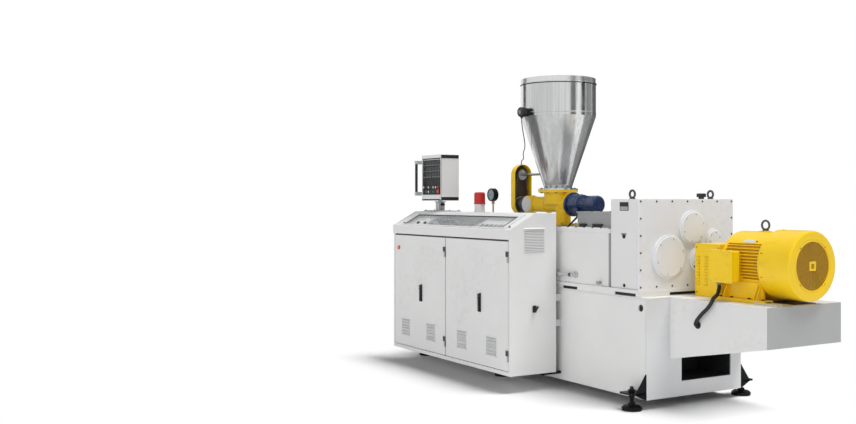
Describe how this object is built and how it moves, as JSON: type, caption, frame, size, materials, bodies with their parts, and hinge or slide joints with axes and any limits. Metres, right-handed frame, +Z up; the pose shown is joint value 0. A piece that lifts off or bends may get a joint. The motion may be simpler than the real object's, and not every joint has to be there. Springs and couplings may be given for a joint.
{
  "type": "plastic extruder",
  "caption": "Conical twin-screw plastic extruder with gearbox, yellow drive motor, steel hopper, feeder, heated barrel and an operator cabinet with hinged doors.",
  "frame": {"origin": "middle of the machine's outline seen from above, on the floor", "axes": "+X along the screws toward the drive motor, -Y toward the operator, +Z up"},
  "size_m": [4.24, 1.5608, 2.441],
  "materials": {
    "base_near_side": "semi-gloss",
    "base_far_side": "semi-gloss",
    "base_end_plate": "semi-gloss",
    "base_tail_plate": "semi-gloss",
    "base_deck": "semi-gloss",
    "motor_beam": "semi-gloss",
    "foot_brackets": "satin",
    "levelling_feet": "satin",
    "gearbox_sole_plate": "semi-gloss",
    "gearbox_housing": "semi-gloss",
    "gearbox_end_plate": "semi-gloss",
    "gearbox_covers": "semi-gloss",
    "gearbox_fittings": "brushed",
    "distribution_box": "semi-gloss",
    "distribution_cover": "semi-gloss",
    "lubrication_pipe": "semi-gloss",
    "coupling_shaft": "brushed",
    "coupling_guard": "semi-gloss",
    "motor_frame": "semi-gloss",
    "motor_fan_cover": "semi-gloss",
    "motor_terminal_box": "semi-gloss",
    "cable_glands": "matte",
    "motor_cable": "matte",
    "barrel": "brushed",
    "heater_bands": "satin",
    "barrel_support": "semi-gloss",
    "outlet_flange": "brushed",
    "feeder_housing": "semi-gloss",
    "feeder_gearmotor": "gloss",
    "gearmotor_cable": "matte",
    "belt_guard": "semi-gloss",
    "pulleys_and_belt": "machined",
    "agitator_shaft": "brushed",
    "hopper_cone": "polished",
    "hopper_cylinder": "polished",
    "hopper_lid": "polished",
    "level_sensor": "matte",
    "sensor_cable": "matte",
    "cabinet_body": "semi-gloss",
    "cabinet_mounting_plate": "galvanised",
    "console_top": "semi-gloss",
    "console_window": "gloss",
    "left_door": "semi-gloss",
    "left_door_handle": "matte",
    "right_door": "semi-gloss",
    "right_door_handle": "matte",
    "cabinet_brackets": "semi-gloss",
    "isolator_switch": "matte",
    "operator_neck": "semi-gloss",
    "operator_box": "semi-gloss",
    "operator_handle": "matte",
    "beacon": "translucent",
    "pressure_gauge": "satin"
  },
  "bodies": {
    "machine": {"base_near_side": "base_near_side", "base_far_side": "base_far_side", "base_end_plate": "base_end_plate", "base_tail_plate": "base_tail_plate", "base_deck": "base_deck", "motor_beam": "motor_beam", "foot_brackets": "foot_brackets", "levelling_feet": "levelling_feet", "gearbox_sole_plate": "gearbox_sole_plate", "gearbox_housing": "gearbox_housing", "gearbox_end_plate": "gearbox_end_plate", "gearbox_covers": "gearbox_covers", "gearbox_fittings": "gearbox_fittings", "distribution_box": "distribution_box", "distribution_cover": "distribution_cover", "lubrication_pipe": "lubrication_pipe", "coupling_shaft": "coupling_shaft", "coupling_guard": "coupling_guard", "motor_frame": "motor_frame", "motor_fan_cover": "motor_fan_cover", "motor_terminal_box": "motor_terminal_box", "cable_glands": "cable_glands", "motor_cable": "motor_cable", "barrel": "barrel", "heater_bands": "heater_bands", "barrel_support": "barrel_support", "outlet_flange": "outlet_flange", "feeder_housing": "feeder_housing", "feeder_gearmotor": "feeder_gearmotor", "gearmotor_cable": "gearmotor_cable", "belt_guard": "belt_guard", "pulleys_and_belt": "pulleys_and_belt", "agitator_shaft": "agitator_shaft", "hopper_cone": "hopper_cone", "hopper_cylinder": "hopper_cylinder", "hopper_lid": "hopper_lid", "level_sensor": "level_sensor", "sensor_cable": "sensor_cable", "cabinet_body": "cabinet_body", "cabinet_mounting_plate": "cabinet_mounting_plate", "console_top": "console_top", "console_window": "console_window", "cabinet_brackets": "cabinet_brackets", "isolator_switch": "isolator_switch", "operator_neck": "operator_neck", "beacon": "beacon", "pressure_gauge": "pressure_gauge"},
    "left_door": {"left_door": "left_door", "left_door_handle": "left_door_handle"},
    "right_door": {"right_door": "right_door", "right_door_handle": "right_door_handle"},
    "operator_panel": {"operator_box": "operator_box", "operator_handle": "operator_handle"}
  },
  "joints": [
    {"name": "left_door_hinge", "type": "hinge", "parent": "machine", "child": "left_door", "pos_m": [-0.596, -0.7625, 0.64], "axis": [0, 0, 1], "range_deg": [0, 90]},
    {"name": "right_door_hinge", "type": "hinge", "parent": "machine", "child": "right_door", "pos_m": [0.2955, -0.7625, 0.64], "axis": [0, 0, 1], "range_deg": [0, 120]},
    {"name": "operator_swivel", "type": "hinge", "parent": "machine", "child": "operator_panel", "pos_m": [-1.218, -0.4295, 1.43], "axis": [0, 0, 1], "range_deg": [-90, 90]}
  ]
}
